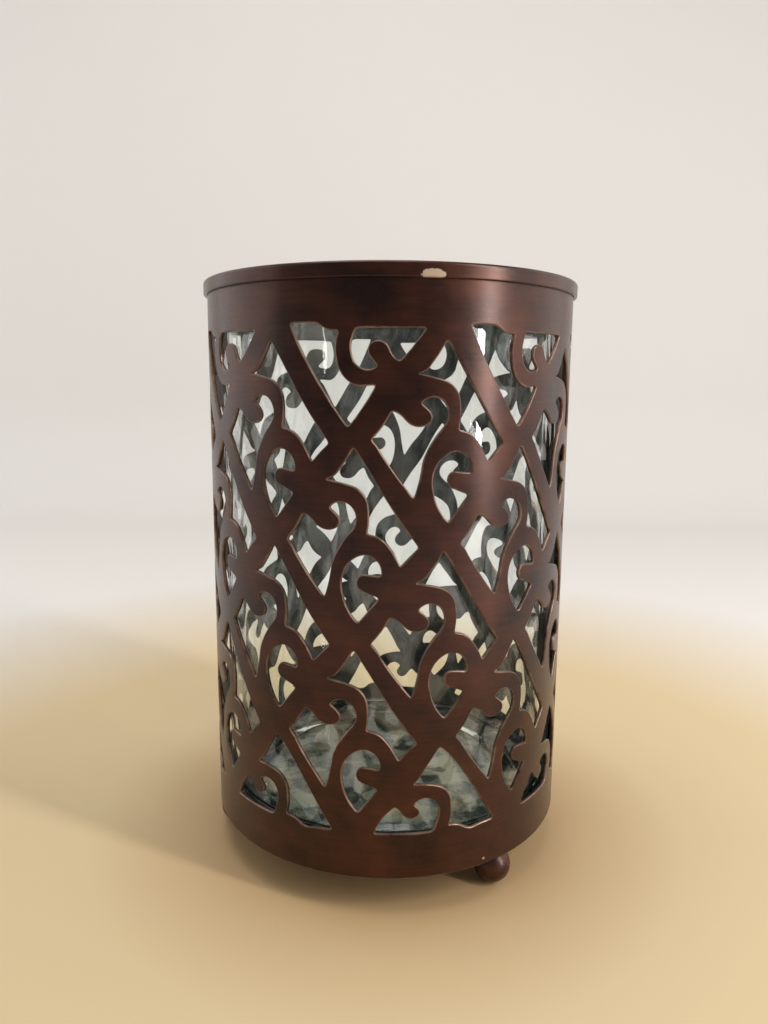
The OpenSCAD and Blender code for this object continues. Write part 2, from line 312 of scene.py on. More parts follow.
def grid_faces(rows, columns, closed=True):
    """Quads of a grid of points numbered row by row; closed joins the last column to the
    first. Each face runs along its row first, so it points to the left of row cross column."""
    a = np.arange(rows * columns).reshape(rows, columns)
    if closed:
        a = np.column_stack([a, a[:, 0]])
    return np.stack([a[:-1, :-1], a[:-1, 1:], a[1:, 1:], a[1:, :-1]], -1).reshape(-1, 4)


def make_piece(name, points, face_sets, materials, normals=None, marks=None):
    """A mesh object from points in millimetres and a list of (faces, material number).
    marks are named values for each point, which the materials read."""
    mesh = bpy.data.meshes.new(name)
    count = sum(len(f) for f, _ in face_sets)
    corners = np.concatenate([f.reshape(-1) for f, _ in face_sets]).astype(np.int32)
    sides = np.concatenate([np.full(len(f), f.shape[1]) for f, _ in face_sets])
    slots = np.concatenate([np.full(len(f), m) for f, m in face_sets]).astype(np.int32)
    mesh.vertices.add(len(points))
    mesh.vertices.foreach_set("co", (points * MM).astype(np.float32).reshape(-1))
    mesh.loops.add(len(corners))
    mesh.loops.foreach_set("vertex_index", corners)
    mesh.polygons.add(count)
    starts = np.concatenate([[0], np.cumsum(sides)[:-1]]).astype(np.int32)
    mesh.polygons.foreach_set("loop_start", starts)
    mesh.polygons.foreach_set("material_index", slots)
    mesh.polygons.foreach_set("use_smooth", np.ones(count, bool))
    for material in materials:
        mesh.materials.append(material)
    for mark, values in (marks or {}).items():
        layer = mesh.attributes.new(mark, "FLOAT", "POINT")
        layer.data.foreach_set("value", values.astype(np.float32))
    mesh.update(calc_edges=True)
    if mesh.validate():
        raise RuntimeError(f"{name}: the mesh had faults")
    if normals is not None:
        mesh.normals_split_custom_set_from_vertices(normals.tolist())
    piece = bpy.data.objects.new(name, mesh)
    bpy.context.scene.collection.objects.link(piece)
    return piece


def rounded_profile(rows, steps=6):
    """A closed profile from rows of [radius, height, rounding]: each corner becomes an arc
    that touches both of its edges, in the given number of steps."""
    corners = np.array(rows, float)
    parts = []
    for i, (r, z, rounding) in enumerate(corners):
        p = np.array([r, z])
        if rounding == 0:
            parts.append(p[None])
            continue
        u = corners[i - 1, :2] - p
        v = corners[(i + 1) % len(corners), :2] - p
        u, v = u / np.hypot(*u), v / np.hypot(*v)
        half = math.acos(u @ v) / 2
        middle = p + (u + v) / np.hypot(*(u + v)) * rounding / math.sin(half)
        start, end = (math.atan2(*(p + w * rounding / math.tan(half) - middle)[::-1]) for w in (u, v))
        swing = (end - start + math.pi) % (2 * math.pi) - math.pi
        turn = start + swing * np.arange(steps + 1) / steps
        parts.append(middle + rounding * np.column_stack([np.cos(turn), np.sin(turn)]))
    return np.vstack(parts)


def turned(profile, steps, centre=(0.0, 0.0), shape=None):
    """A closed profile of (radius, height) carried round an upright axis at centre.
    Points: (r cos t, r sin t, z). shape(r, t, z) may move each radius. Profile points at
    radius 0 become one pole each, so the surface is closed there."""
    t = np.linspace(0, 2 * math.pi, steps, endpoint=False)
    r = np.repeat(profile[:, :1], steps, 1)
    z = np.repeat(profile[:, 1:], steps, 1)
    if shape:
        r = r + shape(r, t[None], z)
    points = np.stack([centre[0] + r * np.cos(t), centre[1] + r * np.sin(t), z], -1).reshape(-1, 3)
    faces = grid_faces(len(profile), steps)
    if profile[0, 0] != 0:
        last = np.arange(steps) + (len(profile) - 1) * steps
        first = np.arange(steps)
        faces = np.vstack([faces, np.stack([last, np.roll(last, -1), np.roll(first, -1), first], -1)])
    return weld(points, faces)


def weld(points, faces):
    """Joins points at one place, drops the sides that vanish and gives triangles."""
    keys, first, number = np.unique(np.round(points, 6), axis=0, return_index=True, return_inverse=True)
    f = number.reshape(-1)[faces]
    triangles = np.vstack([f[:, [0, 1, 2]], f[:, [0, 2, 3]]])
    whole = ((triangles[:, 0] != triangles[:, 1]) & (triangles[:, 1] != triangles[:, 2])
             & (triangles[:, 2] != triangles[:, 0]))
    return points[first], triangles[whole]


def inside(points, line):
    """Which points lie in a closed line: a ray to the right crosses it an odd number of times."""
    after = np.roll(line, -1, 0)
    x, y = points[:, :1], points[:, 1:]
    spans = (line[:, 1] > y) != (after[:, 1] > y)
    rise = np.where(after[:, 1] == line[:, 1], 1.0, after[:, 1] - line[:, 1])
    cross = line[:, 0] + (y - line[:, 1]) * (after[:, 0] - line[:, 0]) / rise
    return (spans & (x < cross)).sum(1) % 2 == 1


def in_window(points, lines, margin):
    """Which points lie in any of the lines or within margin of one of its points."""
    hit = np.zeros(len(points), bool)
    for line in lines:
        low, high = line.min(0) - margin, line.max(0) + margin
        near = np.flatnonzero(((points > low) & (points < high)).all(1) & ~hit)
        if len(near):
            found = inside(points[near], line)
            if margin:
                gap = np.hypot(*(points[near][:, None] - line[None]).transpose(2, 0, 1)).min(1)
                found |= gap < margin
            hit[near] = found
    return hit


def outward(line):
    """For each point of a closed line, the unit normal to its right."""
    run = np.roll(line, -1, 0) - np.roll(line, 1, 0)
    return np.column_stack([run[:, 1], -run[:, 0]]) / np.hypot(*run.T)[:, None]


def room(line, away, others):
    """The radius of the largest disc that touches the line at each of its points, on the side
    that away points to, and holds no other point: the least q^2 / (2 away . q)."""
    reach = 2.5
    near = others[((others > line.min(0) - reach) & (others < line.max(0) + reach)).all(1)]
    q = near[None] - line[:, None]
    ahead = (q * away[:, None]).sum(2)
    size = np.where(ahead > 1e-6, (q ** 2).sum(2) / (2 * np.maximum(ahead, 1e-6)), np.inf)
    return size.min(1)


def spots(places, radius):
    """Points on rings round each place, to carry a shallow round dent."""
    rings = [(share * radius, count) for share, count in ((0, 1), (0.35, 8), (0.7, 12), (1, 16))]
    wheel = np.vstack([np.column_stack([r * np.cos(t), r * np.sin(t)])
                       for r, n in rings for t in [np.linspace(0, 2 * math.pi, n, endpoint=False)]])
    return (places[:, None] + wheel[None]).reshape(-1, 2)


WELD_R = 1.7
WELD_DEPTH = 0.14


def weld_places():
    """Middles of the spot welds along the seam, 18 mm apart."""
    return np.array([[seam() - 1.0, z] for z in np.arange(PAN_TOP + 5, RING_LOW - 4, 18.0)])


def sheet_height(s, z):
    """How far the sheet stands out at (s, z), in millimetres: slow waves left by rolling,
    which die out at both ends, less a round dent (1 - q^2)^2 at each weld."""
    low_end, high_end = (np.clip(d / 6.0, 0, 1) for d in (z - SHEET_LOW - 1, RING_LOW - z - 1))
    ends = low_end * high_end
    waves = (np.sin(s / 11 + 0.4 * np.sin(z / 23)) * 0.35 + np.sin(z / 17 + s / 29 + 1.3) * 0.4
             + np.sin(s / 6.1 - z / 31 + 2.1) * 0.15 + np.sin(z / 7.3 + s / 37 + 0.5) * 0.1)
    height = sizes().dent * waves * ends
    for place in weld_places():
        q = np.clip(((s - place[0]) ** 2 + (z - place[1]) ** 2) / WELD_R ** 2, 0, 1)
        height = height - WELD_DEPTH * (1 - q) ** 2
    return height


def rolled(flat, depth, across, out):
    """Rolls flat points (s, z), at a depth below the outside, onto the sleeve.
    Place: (r sin a, -r cos a, z) with a = s / R and r = R + height - depth.
    Normal: across lies in the sheet, out along the radius, tilted by the sheet's slopes."""
    s, z = flat.T
    step = 0.2
    height = sheet_height(s, z)
    slope = [(sheet_height(s + step, z) - sheet_height(s - step, z)) / (2 * step),
             (sheet_height(s, z + step) - sheet_height(s, z - step)) / (2 * step)]
    r = SHEET_R + height - depth
    a = s / SHEET_R
    places = np.column_stack([r * np.sin(a), -r * np.cos(a), z])
    along_s = across[:, 0] - slope[0] * out
    along_z = across[:, 1] - slope[1] * out
    normals = np.column_stack([along_s * np.cos(a) + out * np.sin(a),
                               along_s * np.sin(a) - out * np.cos(a), along_z])
    return places, normals / np.linalg.norm(normals, axis=1)[:, None]


def edge_rings():
    """The sheet's cut edge as (distance into the metal, depth, share across, share out, wear and painted
    highlight)
    from the outside to the inside: a rounded outer corner, the wall and a small inner one. The last value
    makes the rounded corner and the wall paler, partly as rubbed paint and partly as a painted highlight."""
    size = sizes()
    outer, inner, deep = size.outer_edge, size.inner_edge, size.sheet
    # The last value of each ring is wear and painted highlight, highest on the rounded outer corner and the
    # wall.
    rings = [(outer + 0.3, 0.0, 0.0, 1.0, 0.0), (outer, 0.0, 0.0, 1.0, 0.45)]
    slant = math.radians(48)
    across, down = math.sin(slant), math.cos(slant)
    rings += [(outer * (1 - across), outer * (1 - down), across, down, 1.0)]
    rings += [(0.0, outer, 1.0, 0.0, 0.9), (0.0, deep - inner, 1.0, 0.0, 0.35), (inner, deep, 0.0, -1.0, 0.0)]
    return rings


def pierced_sheet():
    """The sleeve's sheet: each outline carries the edge profile round it, and triangles
    between the innermost lines fill the outside and the inside."""
    size = sizes()
    right = seam() + size.flap / 3
    left = right + 0.4 - 2 * math.pi * SHEET_R
    border = np.array([[left, SHEET_LOW], [left, SHEET_TOP], [right, SHEET_TOP], [right, SHEET_LOW]])
    lines = window_lines() + [eased(wound(border, -1), 0.2, 2.0, 20)]
    rings = edge_rings()
    flat, depth, across, out, wear_and_highlight, faces = [], [], [], [], [], []
    ring_lines = {0: [], len(rings) - 1: []}
    ring_numbers = {0: [], len(rings) - 1: []}
    base = 0
    others = np.vstack(lines)
    for line in lines:
        unit = outward(line)
        fits = np.minimum(1, 0.85 * room(line, unit, others) / rings[0][0])[:, None]
        for k, (into, deep, side, up, worn_and_highlight) in enumerate(rings):
            moved = line + unit * into * fits
            flat.append(moved)
            depth.append(np.full(len(line), deep))
            across.append(-unit * side)
            out.append(np.full(len(line), up))
            wear_and_highlight.append(np.full(len(line), worn_and_highlight))
            if k in ring_lines:
                ring_lines[k].append(moved)
                ring_numbers[k].append(base + k * len(line) + np.arange(len(line)))
        faces.append(base + grid_faces(len(rings), len(line)))
        base += len(rings) * len(line)
    s, z = np.meshgrid(np.arange(left + 2, right - 1, 2.2), np.arange(SHEET_LOW + 2, SHEET_TOP - 1, 2.6))
    s[::2] += 1.1
    grid = np.column_stack([s.ravel(), z.ravel()])
    dents = spots(weld_places(), WELD_R)
    grid = grid[~in_window(grid, [dents], 0.9)]
    fill = np.vstack([grid, dents])
    fill = fill[(fill[:, 0] > left + 1.5) & (fill[:, 0] < right - 1.5)]
    sides = []
    for k, (up, deep) in {0: (1.0, 0.0), len(rings) - 1: (-1.0, size.sheet)}.items():
        kept = fill[~in_window(fill, ring_lines[k][:-1], 0.7)]
        flat.append(kept)
        depth.append(np.full(len(kept), deep))
        across.append(np.zeros((len(kept), 2)))
        out.append(np.full(len(kept), up))
        wear_and_highlight.append(np.zeros(len(kept)))
        numbers = np.concatenate(ring_numbers[k] + [base + np.arange(len(kept))])
        base += len(kept)
        skin = numbers[filled(ring_lines[k], kept)]
        sides.append(skin if up > 0 else skin[:, ::-1])
    places, normals = rolled(np.vstack(flat), np.concatenate(depth), np.vstack(across), np.concatenate(out))
    return places, normals, np.concatenate(wear_and_highlight), np.vstack(faces), sides


def filled(lines, extra):
    """Triangles between closed lines, the last of which is the border round the others, with
    extra points among them. Numbers count the lines' points in turn, and then the extra."""
    points = np.vstack(lines + [extra])
    starts = np.concatenate([[0], np.cumsum([len(line) for line in lines])])
    edges = np.vstack([np.column_stack([a + np.arange(b - a), a + (np.arange(b - a) + 1) % (b - a)])
                       for a, b in zip(starts[:-1], starts[1:])])
    _, _, triangles, origin, _, _ = delaunay_2d_cdt(points.tolist(), edges.tolist(), [], 1, 1e-6)
    if any(len(o) != 1 for o in origin):
        raise RuntimeError("two windows of the pattern meet")
    found = np.array([o[0] for o in origin])[np.array(triangles)]
    return found[~in_window(points[found].mean(1), lines[:-1], 0.0)]


# ---- Materials ------------------------------------------------------------------------------

def node(tree, kind, links=None, **settings):
    """Adds a shader node. settings name its own properties, or its inputs where no property
    has that name, with _ for a space; links give input name or number to an output socket."""
    made = tree.nodes.new(kind)
    for key, value in settings.items():
        if hasattr(made, key):
            setattr(made, key, value)
        else:
            made.inputs[key.replace("_", " ")].default_value = value
    for key, socket in (links or {}).items():
        tree.links.new(socket, made.inputs[key])
    return made


def ramp(tree, factor, stops):
    """A colour ramp on factor with (place, colour) stops."""
    made = node(tree, "ShaderNodeValToRGB", {"Fac": factor})
    line = made.color_ramp.elements
    while len(line) < len(stops):
        line.new(0.5)
    for element, (place, colour) in zip(line, stops):
        element.position = place
        element.color = colour
    return made.outputs["Color"]


def grey(value):
    """A grey of that linear value, for ramps that carry a number."""
    return (value, value, value, 1.0)


def new_material(name):
    """An empty node material with its output and a Principled shader."""
    material = bpy.data.materials.new(name)
    material.use_nodes = True
    tree = material.node_tree
    tree.nodes.clear()
    output = tree.nodes.new("ShaderNodeOutputMaterial")
    shader = tree.nodes.new("ShaderNodeBsdfPrincipled")
    tree.links.new(shader.outputs["BSDF"], output.inputs["Surface"])
    return material, tree, shader, output


def per_metre(feature_mm):
    """Noise scale at which one feature spans that many millimetres."""
    return 1 / (feature_mm * MM)


def pattern(tree, place, feature_mm, stretch=(1, 1, 1), detail=3.0, roughness=0.55, shift=(0, 0, 0)):
    """Noise on object coordinates with features of a real size, squeezed along each axis."""
    moved = node(tree, "ShaderNodeMapping", {"Vector": place}, Scale=stretch, Location=shift)
    return node(tree, "ShaderNodeTexNoise", {"Vector": moved.outputs["Vector"]},
                Scale=per_metre(feature_mm), Detail=detail, Roughness=roughness).outputs["Fac"]


def mixed(tree, factor, a, b, blend="MIX"):
    """Colour mix of a and b, each a socket or a colour."""
    made = node(tree, "ShaderNodeMix", data_type="RGBA", blend_type=blend)
    for socket, value in ((made.inputs[0], factor), (made.inputs[6], a), (made.inputs[7], b)):
        if isinstance(value, bpy.types.NodeSocket):
            tree.links.new(value, socket)
        else:
            socket.default_value = value
    return made.outputs[2]


def maths(tree, operation, a, b=0.0, clamp=False):
    """One arithmetic step on sockets or numbers."""
    made = node(tree, "ShaderNodeMath", operation=operation, use_clamp=clamp)
    for socket, value in zip(made.inputs, (a, b)):
        if isinstance(value, bpy.types.NodeSocket):
            tree.links.new(value, socket)
        else:
            socket.default_value = value
    return made.outputs[0]


def bumped(tree, shader, height, distance_mm, strength=1.0, before=None):
    """A bump of that many millimetres on the shader's normal."""
    links = {"Height": height}
    if before:
        links["Normal"] = before
    bump = node(tree, "ShaderNodeBump", links, Strength=strength, Distance=distance_mm * MM)
    tree.links.new(bump.outputs["Normal"], shader.inputs["Normal"])
    return bump.outputs["Normal"]


def bronze_paint(name, chips=()):
    """Oil-rubbed bronze paint, sprayed and wiped by hand: satin, dark red-brown, with soft
    clouds, faint fine lines round the sleeve, and paler edges, partly rubbed paint and partly a painted
    highlight along the rounded window edges. Each chip is
    a place and a reach in millimetres where the paint is off down to the primer."""
    tint = colours()
    material, tree, shader, _ = new_material(name)
    place = node(tree, "ShaderNodeTexCoord").outputs["Object"]
    streak = pattern(tree, place, 9, (1, 1, 14), 3.0, 0.55)
    cloud = pattern(tree, place, 14, (1, 1, 1.3), 4.0, 0.55, (3.1, 0.7, 0.2))
    grain = pattern(tree, place, 0.7, (1, 1, 1.6), 2.0, 0.5)
    both = maths(tree, "ADD", maths(tree, "MULTIPLY", streak, 0.22), maths(tree, "MULTIPLY", cloud, 0.78))
    colour = ramp(tree, both, [(0.36, tint.bronze_dark[:]), (0.5, tint.bronze[:]),
                               (0.66, tint.bronze_light[:])])
    # The edge mark carries wear and a painted highlight: it makes the rounded window edges paler.
    edge = node(tree, "ShaderNodeAttribute", attribute_name="edge").outputs["Fac"]
    edge_wear_and_highlight = maths(tree, "MULTIPLY", edge, pattern(tree, place, 5, (1, 1, 1), 4.0, 0.65, (0.3, 2.2, 1.7)))
    worn_and_highlight = ramp(tree, edge_wear_and_highlight, [(0.25, grey(0)), (0.55, grey(1))])
    colour = mixed(tree, maths(tree, "MULTIPLY", worn_and_highlight, 0.45), colour, tint.worn_and_highlight[:])
    gloss = ramp(tree, maths(tree, "ADD", maths(tree, "MULTIPLY", cloud, 0.5),
                             maths(tree, "MULTIPLY", grain, 0.5)),
                 [(0.35, grey(0.27)), (0.65, grey(0.4))])
    height = maths(tree, "ADD", maths(tree, "MULTIPLY", grain, 0.5), maths(tree, "MULTIPLY", streak, 0.3))
    for at, reach in chips:
        offset = node(tree, "ShaderNodeVectorMath", {0: place}, operation="SUBTRACT")
        offset.inputs[1].default_value = [c * MM for c in at]
        squeezed = node(tree, "ShaderNodeVectorMath", {0: offset.outputs[0]}, operation="MULTIPLY")
        squeezed.inputs[1].default_value = [1 / (c * MM) for c in reach]
        reached = node(tree, "ShaderNodeVectorMath", {0: squeezed.outputs[0]}, operation="LENGTH")
        far = reached.outputs["Value"]
        rough = pattern(tree, place, 1.5, (1, 1, 1), 4.0, 0.7)
        ragged = maths(tree, "ADD", far, maths(tree, "MULTIPLY", rough, 0.9))
        bare = ramp(tree, maths(tree, "MULTIPLY", ragged, 0.5),
                    [(0.0, grey(1)), (0.66, grey(1)), (0.69, grey(0))])
        pale = mixed(tree, rough, tint.primer[:], tint.worn_and_highlight[:])
        colour = mixed(tree, bare, colour, pale)
        gloss = mixed(tree, bare, gloss, grey(0.6))
        height = maths(tree, "SUBTRACT", height, maths(tree, "MULTIPLY", bare, 1.5))
    tree.links.new(colour, shader.inputs["Base Color"])
    tree.links.new(gloss, shader.inputs["Roughness"])
    bumped(tree, shader, height, 0.03, 0.4)
    shader.inputs["Metallic"].default_value = 0.7
    shader.inputs["Coat Weight"].default_value = 0.3
    shader.inputs["Coat Roughness"].default_value = 0.27
    return material


def overspray_inside():
    """Back of the galvanised sheet under thin dark overspray: grey-green, blotchy, dull."""
    tint = colours()
    material, tree, shader, _ = new_material("overspray_on_galvanised_sheet")
    place = node(tree, "ShaderNodeTexCoord").outputs["Object"]
    blotch = pattern(tree, place, 5, (1, 1, 0.7), 5.0, 0.65, (1.7, 0.2, 0.9))
    drift = pattern(tree, place, 16, (1, 1, 1), 2.0, 0.5, (0.6, 2.4, 0.1))
    speck = pattern(tree, place, 1.2, (1, 1, 1), 2.0, 0.5)
    both = maths(tree, "ADD", maths(tree, "MULTIPLY", blotch, 0.75), maths(tree, "MULTIPLY", speck, 0.25))
    colour = ramp(tree, both, [(0.44, tint.inside[:]), (0.62, tint.inside_light[:])])
    brown = ramp(tree, drift, [(0.48, grey(0)), (0.62, grey(0.7))])
    tree.links.new(mixed(tree, brown, colour, tint.inside_brown[:]), shader.inputs["Base Color"])
    tree.links.new(ramp(tree, speck, [(0.3, grey(0.3)), (0.7, grey(0.5))]), shader.inputs["Roughness"])
    bumped(tree, shader, both, 0.08, 0.5)
    return material


def copper_paint():
    """The same bronze paint sprayed on a smooth ball: redder, a little glossier, with dust."""
    tint = colours()
    material, tree, shader, _ = new_material("copper_brown_paint_on_steel_ball")
    place = node(tree, "ShaderNodeTexCoord").outputs["Object"]
    cloud = pattern(tree, place, 5, (1, 1, 1), 3.0, 0.5, (0.4, 1.1, 0.0))
    fine = pattern(tree, place, 0.6, (1, 1, 1), 2.0, 0.5)
    colour = ramp(tree, cloud, [(0.35, tint.bronze_dark[:]), (0.55, tint.copper[:]),
                                (0.75, tint.bronze_light[:])])
    tree.links.new(colour, shader.inputs["Base Color"])
    tree.links.new(ramp(tree, fine, [(0.3, grey(0.26)), (0.7, grey(0.4))]), shader.inputs["Roughness"])
    bumped(tree, shader, fine, 0.03, 0.4)
    shader.inputs["Metallic"].default_value = 0.35
    return material


def galvanised_pan():
    """Hot-dip galvanised steel: pale grey-green spangles with dark, dirty patches between, and darker towards
    the rim.
    """
    tint = colours()
    material, tree, shader, _ = new_material("galvanised_steel_pan")
    place = node(tree, "ShaderNodeTexCoord").outputs["Object"]
    spangle = node(tree, "ShaderNodeTexVoronoi", {"Vector": place}, Scale=per_metre(6.5), Randomness=1.0)
    patch = pattern(tree, place, 4.2, (1, 1, 1), 5.0, 0.7, (0.2, 0.5, 0.0))
    cell = node(tree, "ShaderNodeSeparateColor", {"Color": spangle.outputs["Color"]}).outputs[0]
    both = maths(tree, "ADD", maths(tree, "MULTIPLY", cell, 0.25), maths(tree, "MULTIPLY", patch, 0.75))
    # Darker towards the rim, beyond about 36 mm from the middle.
    rim = node(tree, "ShaderNodeVectorMath", {0: place}, operation="LENGTH").outputs["Value"]
    darker_to_rim = ramp(tree, maths(tree, "MULTIPLY", rim, 10), [(0.36, grey(0)), (0.48, grey(0.14))])
    colour = ramp(tree, maths(tree, "SUBTRACT", both, darker_to_rim), [(0.4, tint.zinc_dark[:]), (0.56, tint.zinc[:])])
    tree.links.new(colour, shader.inputs["Base Color"])
    tree.links.new(ramp(tree, cell, [(0.0, grey(0.32)), (1.0, grey(0.55))]), shader.inputs["Roughness"])
    bumped(tree, shader, cell, 0.05, 0.3)
    shader.inputs["Metallic"].default_value = 0.55
    return material


def zinc_plate():
    """Bright zinc plating on a machined screw: fine rings of the turning tool."""
    tint = colours()
    material, tree, shader, _ = new_material("zinc_plated_screw_steel")
    place = node(tree, "ShaderNodeTexCoord").outputs["Object"]
    mark = pattern(tree, place, 0.5, (1, 1, 5), 2.0, 0.5)
    tree.links.new(mixed(tree, mark, tint.steel[:], grey(0.45)), shader.inputs["Base Color"])
    tree.links.new(ramp(tree, mark, [(0.3, grey(0.25)), (0.7, grey(0.42))]), shader.inputs["Roughness"])
    bumped(tree, shader, mark, 0.02, 0.4)
    shader.inputs["Metallic"].default_value = 1.0
    return material


def liner_glass():
    """Clear soda-lime glass: faint green where it is seen through edgeways, a melted surface
    with very slow ripples, and light dust. Lamps shine through it onto what is behind."""
    tint = colours()
    material, tree, shader, output = new_material("clear_soda_lime_glass")
    place = node(tree, "ShaderNodeTexCoord").outputs["Object"]
    ripple = pattern(tree, place, 14, (1, 1, 0.35), 2.0, 0.5)
    dust = pattern(tree, place, 2.5, (1, 1, 1), 4.0, 0.6, (0.9, 0.1, 0.4))
    shader.inputs["Base Color"].default_value = tint.glass[:]
    shader.inputs["Transmission Weight"].default_value = 1.0
    shader.inputs["IOR"].default_value = 1.5
    tree.links.new(ramp(tree, dust, [(0.5, grey(0.0)), (0.8, grey(0.03))]), shader.inputs["Roughness"])
    bumped(tree, shader, ripple, 0.25, 0.35)
    clear = node(tree, "ShaderNodeBsdfTransparent", Color=(0.95, 0.97, 0.96, 1.0))
    ray = node(tree, "ShaderNodeLightPath").outputs["Is Shadow Ray"]
    shown = node(tree, "ShaderNodeMixShader", {0: ray, 1: shader.outputs[0], 2: clear.outputs[0]})
    tree.links.new(shown.outputs[0], output.inputs["Surface"])
    tint_node = node(tree, "ShaderNodeVolumeAbsorption", Color=(0.55, 0.82, 0.74, 1.0), Density=7.0)
    tree.links.new(tint_node.outputs[0], output.inputs["Volume"])
    return material


def studio_paper():
    """Matte seamless paper: pale beige, with painted shade (a darker, browner beige) close round the holder,
    blending to the white of the air.
    """
    tint = colours()
    material, tree, shader, _ = new_material("matte_studio_paper")
    place = node(tree, "ShaderNodeTexCoord").outputs["Object"]
    far = node(tree, "ShaderNodeVectorMath", {0: place}, operation="LENGTH").outputs["Value"]
    # Painted shade: the floor is darker and browner within about 45 to 90 mm of the middle, then pale beige,
    # then the wall colour.
    colour = ramp(tree, far, [(0.045, tint.floor_painted_shade[:]), (0.09, tint.floor[:]), (0.15, tint.floor[:]),
                              (0.3, tint.wall[:])])
    tree.links.new(colour, shader.inputs["Base Color"])
    shader.inputs["Roughness"].default_value = 0.7
    return material


# ---- Operators ------------------------------------------------------------------------------

class HOLDER_OT_sleeve(bpy.types.Operator):
    """Pierced sleeve: rolled sheet with rounded window edges, spot welds and the flap"""
    bl_idname = "holder.sleeve"
    bl_label = "Sleeve"

    def execute(self, context):
        size = sizes()
        places, normals, wear_and_highlight, edges, (outside, inside_skin) = pierced_sheet()
        s = np.linspace(-size.flap / 2, size.flap / 2, 13)
        z = np.linspace(PAN_TOP + 0.5, RING_TOP - 3.5, 90)
        a = size.seam_turn + np.concatenate([s, s[::-1]]) / SHEET_R
        r = SHEET_R - size.sheet - np.repeat([size.sheet, 0.02], len(s))
        around = np.column_stack([r * np.sin(a), -r * np.cos(a)])
        flap = np.hstack([np.tile(around, (len(z), 1)), np.repeat(z, len(around))[:, None]])
        flap_sides = grid_faces(len(z), len(around))[:, ::-1] + len(places)
        ring = np.arange(len(around)).reshape(2, -1)
        cap = np.stack([ring[0, :-1], ring[0, 1:], ring[1, ::-1][1:], ring[1, ::-1][:-1]], -1) + len(places)
        top = cap + (len(z) - 1) * len(around)
        way = np.repeat([-1, 1], len(s))
        hubs = np.column_stack([way * np.sin(a), -way * np.cos(a), np.zeros(len(a))])
        points = np.vstack([places, flap])
        turns = np.vstack([normals, np.tile(hubs, (len(z), 1))])
        # The edge mark: paler window edges, as wear and as a painted highlight.
        marks = {"edge": np.concatenate([wear_and_highlight, np.zeros(len(flap))])}
        turn = math.radians(30)
        speck = ((SHEET_R * math.sin(turn), -SHEET_R * math.cos(turn), SHEET_LOW + 1.7), (0.45, 0.45, 0.35))
        paints = [bronze_paint("oil_rubbed_bronze_paint", [speck]), overspray_inside()]
        piece = make_piece("sleeve_pierced", points,
                           [(edges, 0), (outside, 0), (inside_skin, 1), (flap_sides, 1),
                            (cap, 1), (top[:, ::-1], 1)], paints, turns, marks)
        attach(piece, "holder")
        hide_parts("sleeve")
        return {"FINISHED"}


class HOLDER_OT_top_ring(bpy.types.Operator):
    """Formed ring over the top edge, with a chip in its paint"""
    bl_idname = "holder.top_ring"
    bl_label = "Top ring"

    def execute(self, context):
        size = sizes()
        inner = SHEET_R - size.sheet - 1.0
        slot_out, slot_in = SHEET_R + 0.05, SHEET_R - size.sheet - 0.05
        profile = rounded_profile([
            [slot_out, RING_LOW, 0.1], [RING_R, RING_LOW, 0.35], [RING_R, RING_TOP, 0.85],
            [inner, RING_TOP, 0.85], [inner, RING_TOP - 3.0, 0.2], [slot_in, RING_TOP - 3.0, 0.1],
            [slot_in, SHEET_TOP, 0.0], [slot_out, SHEET_TOP, 0.0]])

        def worked(r, t, _):
            """Outward shift of the hand-worked outer face, in millimetres."""
            ripple = 0.5 * np.sin(9 * t + 0.8) + 0.3 * np.sin(17 * t + 2.0) + 0.2 * np.sin(31 * t)
            return -0.04 * (1 + ripple) * (r > slot_out)

        points, faces = turned(profile, size.facets, shape=worked)
        turn = math.radians(10.8)
        chip = ((RING_R * math.sin(turn), -RING_R * math.cos(turn), RING_LOW + 0.7), (3.2, 3.2, 1.3))
        finish = bronze_paint("bronze_paint_with_chip", [chip])
        piece = make_piece("top_ring_formed", points, [(faces, 0)], [finish])
        piece.modifiers.new("true_normals", "WEIGHTED_NORMAL")
        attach(piece, "holder")
        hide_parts("top_ring")
        return {"FINISHED"}


class HOLDER_OT_ball_feet(bpy.types.Operator):
    """Ball feet, each with a filleted neck"""
    bl_idname = "holder.ball_feet"
    bl_label = "Ball feet"

    def execute(self, context):
        skin = copper_paint()
        for name in ("ball_foot_front", "ball_foot_back", "ball_foot_left"):
            low, high = (np.array(corner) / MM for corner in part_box(name))
            centre = (low + high)[:2] / 2
            radius = 5.0 if abs((high - low)[0] / 2 - 5.0) < 0.1 else (high - low)[0] / 2
            neck = 0.28 * 2 * radius
            t = np.linspace(-math.pi / 2, math.radians(48), 40)
            ball = np.column_stack([radius * np.cos(t), radius * (1 + np.sin(t))])
            ball[0, 0] = 0.0
            u = np.linspace(0.15, 1, 10)
            end = ball[-1]
            neck_line = np.column_stack([end[0] + (neck - end[0]) * np.sin(u * math.pi / 2),
                                         end[1] + (high[2] - end[1]) * u ** 1.4])
            profile = np.vstack([ball, neck_line, [[0.0, high[2]]]])
            points, faces = turned(profile, 96, centre)
            piece = make_piece(name + "_painted", points, [(faces, 0)], [skin])
            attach(piece, "holder")
            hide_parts(name)
        return {"FINISHED"}


class HOLDER_OT_metalwork(bpy.types.Operator):
    """Finishes of the floor pan and the foot screws"""
    bl_idname = "holder.metalwork"
    bl_label = "Pan and screws"

    def execute(self, context):
        for name, finish in (("floor_pan", galvanised_pan()), ("foot_screws", zinc_plate())):
            mesh = frame["nodes"][name].data
            mesh.materials.clear()
            mesh.materials.append(finish)
        return {"FINISHED"}


